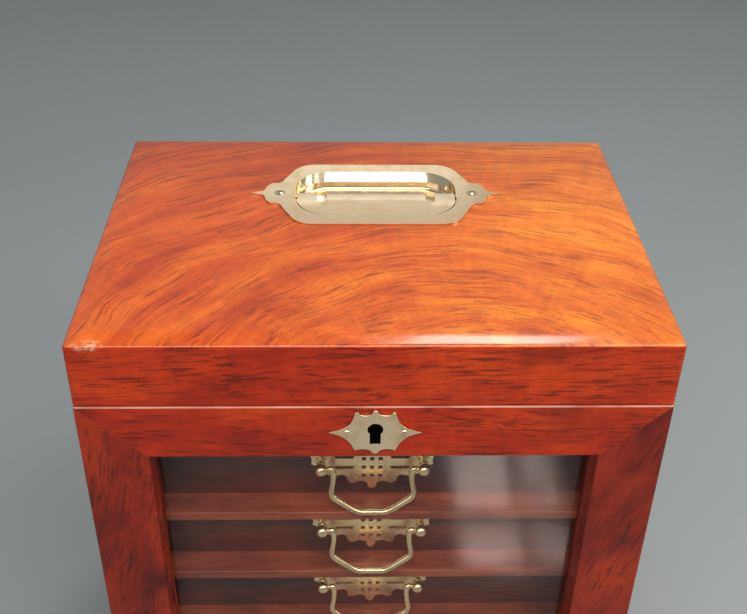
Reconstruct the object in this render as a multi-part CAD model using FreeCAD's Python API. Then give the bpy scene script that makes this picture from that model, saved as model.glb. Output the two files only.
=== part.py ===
"""Jewellery chest: four drawers behind a glazed fall front, under a lid with a flush carrying handle.

Millimetres. The origin is the centre of the underside, +X to the right of someone facing the
chest, +Y towards its back and +Z up, so the front faces -Y.
"""

import FreeCAD, Part
import math
import os
from FreeCAD import Vector

# Overall form
WIDTH = 300.0
DEPTH = 222.0
LID_TOP = 337.0
SIDE = WIDTH / 2
FRONT = -DEPTH / 2
BACK = DEPTH / 2

# Base and case
FELT = 1.5
BASE_TOP = 13.5
CASE_TOP = 298.9
SIDE_THICK = 12.0
BACK_THICK = 6.0
INNER = SIDE - SIDE_THICK

# Fall front
DOOR_THICK = 20.0
DOOR_EASE = 0.8
OPENING_EASE = 0.6
DOOR_BOTTOM = 14.2
DOOR_TOP = 298.0
STILE = 34.5
TOP_RAIL = 33.0
BOTTOM_RAIL = 34.0
REBATE = 4.0
GLASS_FACE = FRONT + 14.8
GLASS_THICK = 2.0
GLASS_GAP = 0.5
DOOR_BACK = FRONT + DOOR_THICK
CASE_FRONT = DOOR_BACK + 0.5

# Shelves and drawers
SHELF_THICK = 6.0
SHELF_PITCH = 48.0
BOTTOM_SHELF_TOP = 60.0
DRAWERS = 4
DRAWER_FACE = FRONT + 36.0
DRAWER_HALF = 137.5
DRAWER_HEIGHT = 41.0
DRAWER_FRONT_THICK = 10.0
DRAWER_BACK = FRONT + 213.0
DRAWER_SIDE = 6.0
DRAWER_SIDE_HEIGHT = 36.0
DRAWER_BOTTOM = 3.0
DRAWER_LIFT = 0.2
LINING = 1.5

# Drawer pulls
POST_HALF = 28.5
POST_HEIGHT = 26.4
BALL_Y = FRONT + 27.0
BALL_R = 3.8
PULL_PLATE = 0.8
BAIL_DROP = 26.4
BAIL_WIRE = 1.6
BAIL_LEAN = math.radians(16.5)
STEM_R = 1.5
NUT_THICK = 2.4
NUT_ACROSS = 3.2
PIERCE = 1.2
PIERCE_STEP = 4.7
PIERCE_ROWS = (0.6, -5.8, -12.2)
SLOT_ROWS = (1.8, -6.0)

# Well under the lid
WELL_FLOOR_TOP = BOTTOM_SHELF_TOP + DRAWERS * SHELF_PITCH
RING_ROLLS = 5
RING_ROLL_WIDTH = 15.5
RING_ROLL_PITCH = 17.6

# Lid
LID_BOTTOM = 299.2
LID_RAIL = 12.0
LID_PANEL = 14.0
LID_MARGIN = 3.2
LID_ARRIS = 2.2
LID_FALL = 1.6
LID_FALL_WIDTH = 13.0
MIRROR_X = 118.0
MIRROR_Y = 82.0
MIRROR_THICK = 3.0

# Flush carrying handle
HANDLE_X = 3.0
HANDLE_Y = FRONT + 147.5
HANDLE_PLATE = 1.2
HANDLE_TOP = LID_TOP + HANDLE_PLATE
PAN_X = 47.0
PAN_Y = 26.3
PAN_CORNER = 20.0
PAN_DEPTH = 9.0
PAN_SHEET = 1.0
PAN_SCOOP = 4.3
SCREW_X = 56.5
GRIP_THICK = 5.0
GRIP_GAP = 0.4
GRIP_PIN_Z = HANDLE_TOP - 2.7
TONGUE_ROLL = 60.0
ARM_ROLL = 140.0

# Lock
LOCK_HALF = 19.0
LOCK_FRONT = FRONT + 3.2
LOCK_BACK = FRONT + 19.7
LOCK_Z = 270.2
LOCK_WALL = 1.4
SELVAGE_HALF = 24.0
SELVAGE = 1.5
KEYHOLE_Z = 284.2
KEYHOLE_R = 3.9
KEYHOLE_HALF = 2.75
KEYHOLE_SLOT = 9.4
KEYHOLE_ROOM = 2.0
ESCUTCHEON_Z = 282.3
ESCUTCHEON_THICK = 1.5
ESCUTCHEON_PIN_X = 14.5
BOLT_FRONT = FRONT + 6.5
BOLT_THICK = 3.2
BOLT_HALF = 6.0
BOLT_CLEAR = 0.3
BOLT_ARCH = 288.5
KEEPER_HALF = 15.0
KEEPER_FRONT = FRONT + 3.0
KEEPER_BACK = FRONT + 11.5
KEEPER_THICK = 1.0

# Hinges
KNUCKLE_R = 2.0
PIN_R = 1.0
LEAF = 1.2
LEAF_DEEP = 18.0
LEAF_TALL = 19.0
HINGE_X = 85.0
HINGE_HALF = 20.0
HINGE_SCREW_STEP = 13.0
HINGE_SCREW_IN = 10.0
HINGE_SCREW_OFF = 12.0
FALL_AXIS = (FRONT - 2.3, 13.9)
LID_AXIS = (BACK + 2.3, 299.05)

nodes = {}


def block(x0, x1, y0, y1, z0, z1):
    """A box between two corners."""
    return Part.makeBox(x1 - x0, y1 - y0, z1 - z0, Vector(x0, y0, z0))


def rod(radius, start, direction, length):
    """A cylinder from a point along a direction."""
    return Part.makeCylinder(radius, length, Vector(*start), Vector(*direction))


def upright_edges(shape):
    """The edges that run along Z."""
    found = []
    for edge in shape.Edges:
        ends = [v.Point for v in edge.Vertexes]
        if len(ends) == 2 and (ends[0] - ends[1]).cross(Vector(0, 0, 1)).Length < 1e-6:
            found.append(edge)
    return found


def rounded_block(x0, x1, y0, y1, z0, z1, radius):
    """A box with its four upright edges rounded."""
    shape = block(x0, x1, y0, y1, z0, z1)
    return shape.makeFillet(radius, upright_edges(shape))


def spot(u, v, w, plane):
    """The point u across and v up or along a plane, w off it."""
    return Vector(u, v, w) if plane == "XY" else Vector(u, w, v)


def prism(steps, low, high, plane):
    """A closed outline pushed from low to high. A step is an end point, or an arc's middle and end."""
    edges = []
    here = steps[0]
    for step in steps[1:] + steps[:1]:
        if isinstance(step[0], tuple):
            middle, end = step
            arc = Part.Arc(spot(*here, low, plane), spot(*middle, low, plane), spot(*end, low, plane))
            edges.append(arc.toShape())
            here = end
        elif math.dist(here, step) > 1e-6:
            edges.append(Part.LineSegment(spot(*here, low, plane), spot(*step, low, plane)).toShape())
            here = step
    face = Part.Face(Part.Wire(edges))
    return face.extrude(spot(0, 0, high, plane) - spot(0, 0, low, plane))


def symmetric(half):
    """A whole outline from its right half, which starts and ends on the centre line."""
    corners = [step[1] if isinstance(step[0], tuple) else step for step in half]
    steps = list(half)
    for number in range(len(half) - 1, 0, -1):
        step = half[number]
        end = (-corners[number - 1][0], corners[number - 1][1])
        if isinstance(step[0], tuple):
            steps.append(((-step[0][0], step[0][1]), end))
        else:
            steps.append(end)
    return steps


def mitred(ring, outer, inner, low, high, plane):
    """A rectangular frame cut at its corners: the low-v, high-v, left and right members."""
    (u0, u1, v0, v1), (a0, a1, b0, b1) = outer, inner
    wedges = [
        [(u0, v0), (u1, v0), (a1, b0), (a0, b0)],
        [(u0, v1), (a0, b1), (a1, b1), (u1, v1)],
        [(u0, v0), (a0, b0), (a0, b1), (u0, v1)],
        [(u1, v0), (u1, v1), (a1, b1), (a1, b0)],
    ]
    return [ring.common(prism(wedge, low, high, plane)) for wedge in wedges]


def group(*shapes):
    """Separate solids that share one node."""
    return Part.makeCompound([solid for shape in shapes for solid in shape.Solids])


def shift(step, du, dv):
    """An outline step moved by du and dv."""
    if isinstance(step[0], tuple):
        return tuple((u + du, v + dv) for u, v in step)
    return (step[0] + du, step[1] + dv)


def mirrored(step, side):
    """An outline step on the other side of the centre line, if side is -1."""
    if isinstance(step[0], tuple):
        return tuple((side * u, v) for u, v in step)
    return (side * step[0], step[1])


def edges_where(shape, test):
    """The edges whose ends both pass a test."""
    return [e for e in shape.Edges if all(test(v.Point) for v in e.Vertexes)]


def base():
    """Baize underneath and the bottom board, which is let in for the fall-front hinges."""
    inset = 2.0
    nodes["base_felt"] = block(-SIDE + inset, SIDE - inset, FRONT + inset, BACK - inset, 0, FELT)
    board = rounded_block(-SIDE, SIDE, FRONT, BACK, FELT, BASE_TOP, 2.0)
    depth = 0.9
    reach = HINGE_HALF + 0.1
    for side in (-1, 1):
        middle = side * HINGE_X
        board = board.cut(block(middle - reach, middle + reach, FRONT - 1, FRONT + LEAF_DEEP + 1.1,
                                BASE_TOP - depth, BASE_TOP + 1))
    nodes["base_board"] = board


def case():
    """Sides, back, front boards and shelves. The front edges of the boards are eased."""
    ease = 0.8

    def board(x0, x1, y0, y1, z0, z1):
        shape = block(x0, x1, y0, y1, z0, z1)
        front = [e for e in shape.Edges
                 if all(abs(v.Y - y0) < 1e-6 for v in e.Vertexes)
                 and abs(e.Vertexes[0].Z - e.Vertexes[1].Z) < 1e-6]
        return shape.makeFillet(ease, front)

    for name, side in (("case_left_side", -1), ("case_right_side", 1)):
        x0, x1 = sorted((side * INNER, side * SIDE))
        nodes[name] = block(x0, x1, CASE_FRONT, BACK, BASE_TOP, CASE_TOP)
    back = BACK - BACK_THICK
    nodes["case_back"] = block(-INNER, INNER, back, BACK, BASE_TOP, CASE_TOP)
    nodes["plinth_rail"] = block(-INNER, INNER, CASE_FRONT, CASE_FRONT + SIDE_THICK,
                                 BASE_TOP, BOTTOM_SHELF_TOP - SHELF_THICK)
    tops = [BOTTOM_SHELF_TOP + number * SHELF_PITCH for number in range(DRAWERS + 1)]
    shelves = [board(-INNER, INNER, CASE_FRONT, back, top - SHELF_THICK, top) for top in tops]
    nodes["bottom_shelf"] = shelves[0]
    nodes["drawer_shelves"] = group(*shelves[1:-1])
    nodes["well_floor"] = shelves[-1]
    nodes["well_front"] = block(-INNER, INNER, CASE_FRONT, CASE_FRONT + SIDE_THICK,
                                WELL_FLOOR_TOP, CASE_TOP)


def well():
    """The velvet tray in the top of the case: a bank of ring rolls and three compartments."""
    wall = 3.0
    x1 = INNER
    y0 = CASE_FRONT + SIDE_THICK
    y1 = BACK - BACK_THICK
    floor = WELL_FLOOR_TOP + wall
    rim = WELL_FLOOR_TOP + 40.0
    bank = wall + RING_ROLLS * RING_ROLL_PITCH
    middle = y0 + bank + 1.0
    low = WELL_FLOOR_TOP + 28.0
    third = 45.0
    nodes["well_tray"] = group(
        block(-x1, x1, y0, y1, WELL_FLOOR_TOP, floor),
        block(-x1, x1, y0, y0 + wall, floor, rim),
        block(-x1, x1, y1 - wall, y1, floor, rim),
        block(-x1, -x1 + wall, y0 + wall, y1 - wall, floor, rim),
        block(x1 - wall, x1, y0 + wall, y1 - wall, floor, rim),
        block(-x1 + wall, x1 - wall, middle, middle + wall, floor, low),
        block(-third - wall, -third, middle + wall, y1 - wall, floor, low),
        block(third, third + wall, middle + wall, y1 - wall, floor, low),
    )
    radius = RING_ROLL_WIDTH / 2
    shoulder = floor + 12.0
    rolls = []
    for number in range(RING_ROLLS):
        y = y0 + wall + RING_ROLL_PITCH * (number + 0.5)
        length = 2 * (x1 - wall) - 2.0
        stem = block(-length / 2, length / 2, y - radius, y + radius, floor, shoulder)
        rolls.append(stem.fuse(rod(radius, (-length / 2, y, shoulder), (1, 0, 0), length)).removeSplitter())
    nodes["ring_rolls"] = group(*rolls)


def leaf_pair(axis, middle, plate_a, plate_b, clear_a, clear_b):
    """A butt hinge's two leaves. A holds the outer knuckles and B the middle one."""
    y, z = axis
    gap = 0.2
    third = 2 * HINGE_HALF / 3
    left = middle - HINGE_HALF
    cuts = [left, left + third, left + 2 * third, left + 3 * third]

    def knuckle(x0, x1):
        return rod(KNUCKLE_R, (x0, y, z), (1, 0, 0), x1 - x0)

    leaf_a = plate_a
    leaf_b = plate_b
    for x0, x1 in ((cuts[0], cuts[1] - gap), (cuts[2] + gap, cuts[3])):
        leaf_a = leaf_a.fuse(knuckle(x0, x1))
    leaf_b = leaf_b.fuse(knuckle(cuts[1] + gap, cuts[2] - gap))
    leaf_a = leaf_a.cut(clear_a(cuts[1] - gap, cuts[2] + gap))
    for x0, x1 in ((cuts[0] - 1, cuts[1] + gap), (cuts[2] - gap, cuts[3] + 1)):
        leaf_b = leaf_b.cut(clear_b(x0, x1))
    bore = rod(PIN_R + 0.05, (left - 1, y, z), (1, 0, 0), 2 * HINGE_HALF + 2)
    return leaf_a.cut(bore), leaf_b.cut(bore)


def countersunk(leaf, centres, direction):
    """Three screw holes through a leaf."""
    for centre in centres:
        leaf = leaf.cut(rod(1.6, centre, direction, 6.0))
    return leaf


def hinges():
    """Two butt hinges under the fall front, two behind the lid, and their pins."""
    case_low, front_low, case_high, lid_high, pins = [], [], [], [], []
    for middle in (-HINGE_X, HINGE_X):
        x0, x1 = middle - HINGE_HALF, middle + HINGE_HALF
        rows = (middle - HINGE_SCREW_STEP, middle, middle + HINGE_SCREW_STEP)

        y, z = FALL_AXIS
        keep = KNUCKLE_R + 0.2

        def around(a, b, y=y, z=z):
            return block(a, b, y - keep, y + keep, z - keep, z + keep)

        a, b = leaf_pair(
            FALL_AXIS, middle,
            block(x0, x1, y, FRONT + LEAF_DEEP, z - 0.05 - LEAF, z - 0.05),
            block(x0, x1, y, FRONT + LEAF_DEEP, z + 0.05, z + 0.05 + LEAF),
            around, around)
        centres = [(x, FRONT + HINGE_SCREW_IN, z - 3) for x in rows]
        case_low.append(countersunk(a, centres, (0, 0, 1)))
        front_low.append(countersunk(b, centres, (0, 0, 1)))
        pins.append(rod(PIN_R, (x0 + 0.2, y, z), (1, 0, 0), 2 * HINGE_HALF - 0.4))

        y, z = LID_AXIS

        def behind(a, b, y=y, z=z):
            return block(a, b, y - 2.4, y + keep, z - keep, z + keep)

        a, b = leaf_pair(
            LID_AXIS, middle,
            block(x0, x1, BACK, BACK + LEAF, z - LEAF_TALL, z),
            block(x0, x1, BACK, BACK + LEAF, z, z + LEAF_TALL),
            behind, behind)
        case_high.append(countersunk(a, [(x, BACK - 2, z - HINGE_SCREW_OFF) for x in rows], (0, 1, 0)))
        lid_high.append(countersunk(b, [(x, BACK - 2, z + HINGE_SCREW_OFF) for x in rows], (0, 1, 0)))
        pins.append(rod(PIN_R, (x0 + 0.2, y, z), (1, 0, 0), 2 * HINGE_HALF - 0.4))
    nodes["front_hinge_case_leaves"] = group(*case_low)
    nodes["front_hinge_front_leaves"] = group(*front_low)
    nodes["lid_hinge_case_leaves"] = group(*case_high)
    nodes["lid_hinge_lid_leaves"] = group(*lid_high)
    nodes["hinge_pins"] = group(*pins)


def keyhole(y0, y1, grow=0.0):
    """A round-headed keyhole, front to back, as a solid to cut away. Behind the plate it is larger."""
    head = rod(KEYHOLE_R + grow, (0, y0, KEYHOLE_Z), (0, 1, 0), y1 - y0)
    half = KEYHOLE_HALF + grow
    slot = block(-half, half, y0, y1, KEYHOLE_Z - KEYHOLE_SLOT - grow, KEYHOLE_Z)
    return head.fuse(slot)


def bolt_pocket(grow):
    """The space above the closed lid's edge that the bolt rises into."""
    half = BOLT_HALF + 0.6 + grow
    return block(-half, half, BOLT_FRONT - 0.4 - grow, BOLT_FRONT + BOLT_THICK + 0.4 + grow,
                 LID_BOTTOM - 1, LID_BOTTOM + 7.0)


def fall_front():
    """The mitred frame, its glass and beads, and its lock pocket."""
    low, high = DOOR_BOTTOM + BOTTOM_RAIL, DOOR_TOP - TOP_RAIL
    half = SIDE - STILE
    frame = rounded_block(-SIDE, SIDE, FRONT, DOOR_BACK, DOOR_BOTTOM, DOOR_TOP, 1.2)
    frame = frame.makeFillet(DOOR_EASE, edges_where(
        frame, lambda p: p.y < FRONT + 0.01 and (p.z > DOOR_TOP - 0.01 or p.z < DOOR_BOTTOM + 0.01)))
    frame = frame.cut(block(-half, half, FRONT - 1, DOOR_BACK + 1, low, high))
    frame = frame.cut(block(-half - REBATE, half + REBATE, GLASS_FACE, DOOR_BACK + 1,
                            low - REBATE, high + REBATE))
    members = mitred(frame, (-SIDE, SIDE, DOOR_BOTTOM, DOOR_TOP), (-half, half, low, high),
                     FRONT - 1, DOOR_BACK + 1, "XZ")
    bottom, top, left, right = [member.makeFillet(OPENING_EASE, edges_where(
        member, lambda p: p.y < FRONT + 0.01 and abs(p.x) < half + 0.01 and low - 0.01 < p.z < high + 0.01))
        for member in members]
    fit = 0.2
    pocket = block(-LOCK_HALF - fit, LOCK_HALF + fit, LOCK_FRONT - fit, DOOR_BACK + 1,
                   LOCK_Z - fit, DOOR_TOP + 1)
    seat = block(-SELVAGE_HALF - fit, SELVAGE_HALF + fit, LOCK_FRONT - fit, DOOR_BACK + 1,
                 DOOR_TOP - SELVAGE - 0.3, DOOR_TOP + 1)
    top = top.cut(pocket).cut(seat).cut(keyhole(FRONT - 1, LOCK_FRONT + 1, KEYHOLE_ROOM))
    for side in (-1, 1):
        top = top.cut(rod(0.65, (side * ESCUTCHEON_PIN_X, FRONT - 1, ESCUTCHEON_Z), (0, 1, 0), 4.2))
        middle = side * HINGE_X
        bottom = bottom.cut(block(middle - HINGE_HALF - 0.1, middle + HINGE_HALF + 0.1, FRONT - 1,
                                  FRONT + LEAF_DEEP + 0.1, DOOR_BOTTOM - 1, DOOR_BOTTOM + 1.05))
    nodes["front_bottom_rail"] = bottom
    nodes["front_top_rail"] = top
    nodes["front_left_stile"] = left
    nodes["front_right_stile"] = right

    reach = half + REBATE
    nodes["front_glass"] = block(-reach + GLASS_GAP, reach - GLASS_GAP, GLASS_FACE, GLASS_FACE + GLASS_THICK,
                                 low - REBATE + GLASS_GAP, high + REBATE - GLASS_GAP)
    ring = block(-reach, reach, GLASS_FACE + GLASS_THICK, DOOR_BACK, low - REBATE, high + REBATE)
    ring = ring.cut(block(-half, half, FRONT, DOOR_BACK + 1, low, high))
    nodes["glazing_beads"] = group(*mitred(
        ring, (-reach, reach, low - REBATE, high + REBATE), (-half, half, low, high),
        FRONT, DOOR_BACK + 1, "XZ"))


def lock():
    """Escutcheon, lock case, the bolt that rises into the lid, and the keeper that takes it."""
    outline = symmetric([
        (0.0, 14.2), (1.1, 14.0), (1.7, 12.2), ((4.9, 11.1), (8.0, 11.9)), (8.5, 13.1), (10.2, 12.9),
        (11.2, 9.2), ((13.3, 5.2), (17.4, 2.0)), (23.8, 0.0), (17.8, -2.2), ((14.2, -5.2), (11.9, -8.6)),
        (10.4, -12.2), ((6.2, -11.2), (2.4, -12.2)), (1.2, -14.0), (0.0, -14.2),
    ])
    outline = [shift(step, 0.0, ESCUTCHEON_Z) for step in outline]
    plate = prism(outline, FRONT - ESCUTCHEON_THICK, FRONT, "XZ")
    plate = plate.cut(keyhole(FRONT - 3, FRONT + 1))
    heads = []
    for side in (-1, 1):
        x = side * ESCUTCHEON_PIN_X
        plate = plate.cut(rod(0.65, (x, FRONT - 3, ESCUTCHEON_Z), (0, 1, 0), 4.0))
        shank = rod(0.6, (x, FRONT - ESCUTCHEON_THICK, ESCUTCHEON_Z), (0, 1, 0), 4.4)
        dome = Part.makeSphere(1.9, Vector(x, FRONT - ESCUTCHEON_THICK + 1.0, ESCUTCHEON_Z))
        dome = dome.common(block(x - 3, x + 3, FRONT - 5, FRONT - ESCUTCHEON_THICK,
                                 ESCUTCHEON_Z - 3, ESCUTCHEON_Z + 3))
        heads.append(shank.fuse(dome))
    nodes["escutcheon"] = plate
    nodes["escutcheon_pins"] = group(*heads)

    under = DOOR_TOP - 0.2 - SELVAGE
    body = block(-LOCK_HALF, LOCK_HALF, LOCK_FRONT, LOCK_BACK, LOCK_Z, under)
    body = body.cut(block(-LOCK_HALF + LOCK_WALL, LOCK_HALF - LOCK_WALL, LOCK_FRONT + LOCK_WALL,
                          LOCK_BACK - LOCK_WALL, LOCK_Z + LOCK_WALL, under + 1))
    body = body.fuse(block(-SELVAGE_HALF, SELVAGE_HALF, LOCK_FRONT, LOCK_BACK, under, DOOR_TOP - 0.2))
    slide = BOLT_HALF + BOLT_CLEAR
    behind = BOLT_FRONT + BOLT_THICK + BOLT_CLEAR
    for side in (-1, 1):
        x0, x1 = sorted((side * slide, side * (slide + 2.0)))
        body = body.fuse(block(x0, x1, LOCK_FRONT + LOCK_WALL, behind, LOCK_Z + LOCK_WALL, under))
    body = body.cut(block(-slide, slide, BOLT_FRONT - BOLT_CLEAR, behind, under - 1, DOOR_TOP + 1))
    body = body.cut(keyhole(LOCK_FRONT - 1, LOCK_FRONT + LOCK_WALL + 0.5, KEYHOLE_ROOM))
    key_post = rod(1.2, (0, BOLT_FRONT - 0.2, KEYHOLE_Z), (0, 1, 0), LOCK_BACK - BOLT_FRONT)
    nodes["lock_case"] = body.fuse(key_post).removeSplitter()
    bolt = block(-BOLT_HALF, BOLT_HALF, BOLT_FRONT, BOLT_FRONT + BOLT_THICK, LOCK_Z + 6.3, DOOR_TOP - 0.4)
    arch = BOLT_HALF - 1.6
    bolt = bolt.cut(block(-arch, arch, BOLT_FRONT - 1, BOLT_FRONT + BOLT_THICK + 1, LOCK_Z, BOLT_ARCH))
    nodes["lock_bolt"] = bolt

    keeper = block(-KEEPER_HALF, KEEPER_HALF, KEEPER_FRONT, KEEPER_BACK,
                   LID_BOTTOM, LID_BOTTOM + KEEPER_THICK)
    nodes["lock_keeper"] = keeper.cut(bolt_pocket(0.0))


def pan_level(grow, back, z):
    """The recess's outline at one height: a rounded rectangle whose back edge is given."""
    slab = rounded_block(HANDLE_X - PAN_X - grow, HANDLE_X + PAN_X + grow, HANDLE_Y - PAN_Y - grow,
                         HANDLE_Y + back + grow, z, z + 1, PAN_CORNER + grow)
    return min(slab.Faces, key=lambda face: face.CenterOfMass.z).OuterWire


def pan(grow, z0, z1):
    """The round-ended recess of the carrying handle, whose back wall is scooped for the fingers."""
    bend = HANDLE_TOP - PAN_SCOOP
    foot = pan_level(grow, PAN_Y - PAN_SCOOP, z0)
    lower = Part.Face(foot).extrude(Vector(0, 0, bend - z0))
    upper = Part.makeLoft([pan_level(grow, PAN_Y - PAN_SCOOP, bend),
                           pan_level(grow, PAN_Y - HANDLE_TOP + z1, z1)], True, True)
    return lower.fuse(upper)


def lid_form():
    """The closed lid from outside: its top rolls off towards each edge and ends in a tight arris."""
    solid = block(-SIDE, SIDE, FRONT, BACK, LID_BOTTOM, LID_TOP)
    radius = (LID_FALL_WIDTH ** 2 + LID_FALL ** 2) / (2 * LID_FALL)
    low, high, reach = LID_TOP - LID_FALL - 1, LID_TOP + 1, SIDE + 5
    for side in (-1, 1):
        x, y = side * (SIDE - LID_FALL_WIDTH), side * (BACK - LID_FALL_WIDTH)
        x0, x1 = sorted((x, side * (SIDE + 1)))
        y0, y1 = sorted((y, side * (BACK + 1)))
        across = rod(radius, (x, -reach, LID_TOP - radius), (0, 1, 0), 2 * reach)
        along = rod(radius, (-reach, y, LID_TOP - radius), (1, 0, 0), 2 * reach)
        solid = solid.cut(block(x0, x1, -reach, reach, low, high).cut(across))
        solid = solid.cut(block(-reach, reach, y0, y1, low, high).cut(along))
    rim = edges_where(solid, lambda p: p.z > low and (abs(p.x) > SIDE - 0.01 or abs(p.y) > BACK - 0.01))
    return solid.makeFillet(LID_ARRIS, rim + upright_edges(solid))


def lid():
    """Four mitred rails, rebated for the top panel, which carry the rolled edge between them."""
    solid = lid_form()
    inside_x, inside_y = SIDE - LID_RAIL, BACK - LID_RAIL
    panel_x, panel_y = SIDE - LID_MARGIN, BACK - LID_MARGIN
    panel_z = LID_TOP - LID_PANEL
    panel = block(-panel_x, panel_x, -panel_y, panel_y, panel_z, LID_TOP + 1)
    ring = solid.cut(block(-inside_x, inside_x, -inside_y, inside_y, LID_BOTTOM - 1, LID_TOP + 1)).cut(panel)
    front, back, left, right = mitred(
        ring, (-SIDE, SIDE, FRONT, BACK), (-inside_x, inside_x, -inside_y, inside_y),
        LID_BOTTOM - 1, LID_TOP + 1, "XY")
    front = front.cut(bolt_pocket(0.1))
    fit = 0.1
    front = front.cut(block(-KEEPER_HALF - fit, KEEPER_HALF + fit, KEEPER_FRONT - fit, KEEPER_BACK + fit,
                            LID_BOTTOM - 1, LID_BOTTOM + KEEPER_THICK + fit))
    nodes["lid_front_rail"] = front
    nodes["lid_back_rail"] = back
    nodes["lid_side_rails"] = group(left, right)

    gap = PAN_SHEET + 0.3
    top = solid.common(panel)
    top = top.cut(rounded_block(HANDLE_X - PAN_X - gap, HANDLE_X + PAN_X + gap, HANDLE_Y - PAN_Y - gap,
                                HANDLE_Y + PAN_Y + gap, HANDLE_TOP - PAN_DEPTH - PAN_SHEET - 0.3,
                                LID_TOP + 1, PAN_CORNER + gap))
    for side in (-1, 1):
        top = top.cut(rod(1.45, (HANDLE_X + side * SCREW_X, HANDLE_Y, LID_TOP - 8.2), (0, 0, 1), 10))
    nodes["lid_top"] = top
    nodes["lid_mirror"] = block(-MIRROR_X, MIRROR_X, -MIRROR_Y, MIRROR_Y, panel_z - MIRROR_THICK, panel_z)


def handle():
    """The pressed plate and pan, its two screws, and the drop grip that lies flush in the pan."""
    outline = symmetric([
        (0.0, 36.0), (37.5, 36.0), ((44.6, 33.2), (49.6, 26.4)), ((52.6, 20.4), (55.0, 15.0)),
        ((56.5, 12.7), (58.8, 12.0)), (61.3, 12.0), ((63.7, 9.0), (65.0, 4.8)),
        ((66.3, 2.4), (68.6, 1.4)), (73.4, 0.0), (68.6, -1.4), ((66.3, -2.4), (65.0, -4.7)),
        ((63.7, -9.0), (61.3, -12.0)), (58.8, -12.0), ((56.5, -12.7), (55.0, -15.0)),
        ((52.6, -20.4), (49.6, -26.4)), ((44.6, -33.2), (37.5, -36.0)), (0.0, -36.0),
    ])
    outline = [shift(step, HANDLE_X, HANDLE_Y) for step in outline]
    plate = prism(outline, LID_TOP, HANDLE_TOP, "XY")
    floor = HANDLE_TOP - PAN_DEPTH
    plate = plate.fuse(pan(PAN_SHEET, floor - PAN_SHEET, LID_TOP + 0.5))
    mouth = Part.Face(pan_level(0.0, PAN_Y, HANDLE_TOP)).extrude(Vector(0, 0, 1))
    hollow = pan(0.0, floor, HANDLE_TOP).fuse(mouth)
    bed = [e for e in hollow.Edges if all(abs(v.Z - floor) < 1e-6 for v in e.Vertexes)]
    plate = plate.cut(hollow.makeFillet(1.5, bed))
    plate = plate.cut(rod(1.5, (HANDLE_X - PAN_X - 2, HANDLE_Y, GRIP_PIN_Z), (1, 0, 0), 2 * PAN_X + 4))
    screws = []
    for side in (-1, 1):
        x = HANDLE_X + side * SCREW_X
        plate = plate.cut(rod(1.6, (x, HANDLE_Y, LID_TOP - 1), (0, 0, 1), 4))
        head = Part.makeSphere(6.0, Vector(x, HANDLE_Y, HANDLE_TOP - 5.1))
        head = head.common(block(x - 5, x + 5, HANDLE_Y - 5, HANDLE_Y + 5, HANDLE_TOP, HANDLE_TOP + 3))
        slot = block(x - 4, x + 4, HANDLE_Y - 0.35, HANDLE_Y + 0.35, HANDLE_TOP + 0.35, HANDLE_TOP + 3)
        shank = rod(1.4, (x, HANDLE_Y, LID_TOP - 8), (0, 0, 1), HANDLE_PLATE + 8)
        screws.append(shank.fuse(head.cut(slot)))
    nodes["carry_handle_plate"] = plate
    nodes["carry_handle_screws"] = group(*screws)
    nodes["carry_handle_grip"] = grip()


def grip():
    """A flat drop grip: two arms from the pins, and a front bar with a wide tongue. Both roll down."""
    x, y = PAN_X - GRIP_GAP - 0.4, PAN_Y - GRIP_GAP
    z0, z1 = HANDLE_TOP - 0.2 - GRIP_THICK, HANDLE_TOP - 0.2
    arm_in, tongue, tongue_y, bar_y = 34.5, 29.0, 2.0, -11.0
    tongue_roll_y, arm_roll_y = -9.0, -17.0
    cx, cy = HANDLE_X, HANDLE_Y
    shape = rounded_block(cx - x, cx + x, cy - y, cy + y, z0, z1, PAN_CORNER - GRIP_GAP)
    shape = shape.cut(block(cx - x, cx + x, cy + tongue_y, cy + y + 1, z0 - 1, z1 + 1))
    for side in (-1, 1):
        x0, x1 = sorted((cx + side * tongue, cx + side * arm_in))
        shape = shape.cut(rounded_block(x0, x1, cy + bar_y, cy + tongue_y + 9, z0 - 1, z1 + 1, 2.6))
    shape = shape.removeSplitter()
    corners = [e for e in upright_edges(shape) if abs(e.Vertexes[0].Y - cy - tongue_y) < 1e-3
               and abs(abs(e.Vertexes[0].X - cx) - tongue) < 1e-3]
    shape = shape.makeFillet(3.0, corners)
    inner = (tongue + arm_in) / 2
    for radius, roll_y, x0, x1 in ((TONGUE_ROLL, tongue_roll_y, -inner, inner),
                                   (ARM_ROLL, arm_roll_y, -x - 1, -inner),
                                   (ARM_ROLL, arm_roll_y, inner, x + 1)):
        above = block(cx + x0, cx + x1, cy + roll_y, cy + tongue_y + 1, z0, z1 + 1)
        roll = rod(radius, (cx + x0 - 1, cy + roll_y, z1 - radius), (1, 0, 0), x1 - x0 + 2)
        shape = shape.cut(above.cut(roll))
    for side in (-1, 1):
        start = cx + side * (x - 3.0)
        shape = shape.fuse(rod(1.4, (start, cy, GRIP_PIN_Z), (side, 0, 0), 3.0 + PAN_X + 1.2 - x))
    return shape


def bent_path(corners, radii):
    """Straight runs joined by tangent arcs, as one wire."""
    edges = []
    here = corners[0]
    for number, radius in enumerate(radii, start=1):
        corner = corners[number]
        back = (corners[number - 1] - corner).normalize()
        ahead = (corners[number + 1] - corner).normalize()
        half = back.getAngle(ahead) / 2
        reach = radius / math.tan(half)
        start = corner + back * reach
        end = corner + ahead * reach
        centre = corner + (back + ahead).normalize() * (radius / math.sin(half))
        middle = centre + (corner - centre).normalize() * radius
        edges.append(Part.LineSegment(here, start).toShape())
        edges.append(Part.Arc(start, middle, end).toShape())
        here = end
    edges.append(Part.LineSegment(here, corners[-1]).toShape())
    return Part.Wire(edges)


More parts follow.
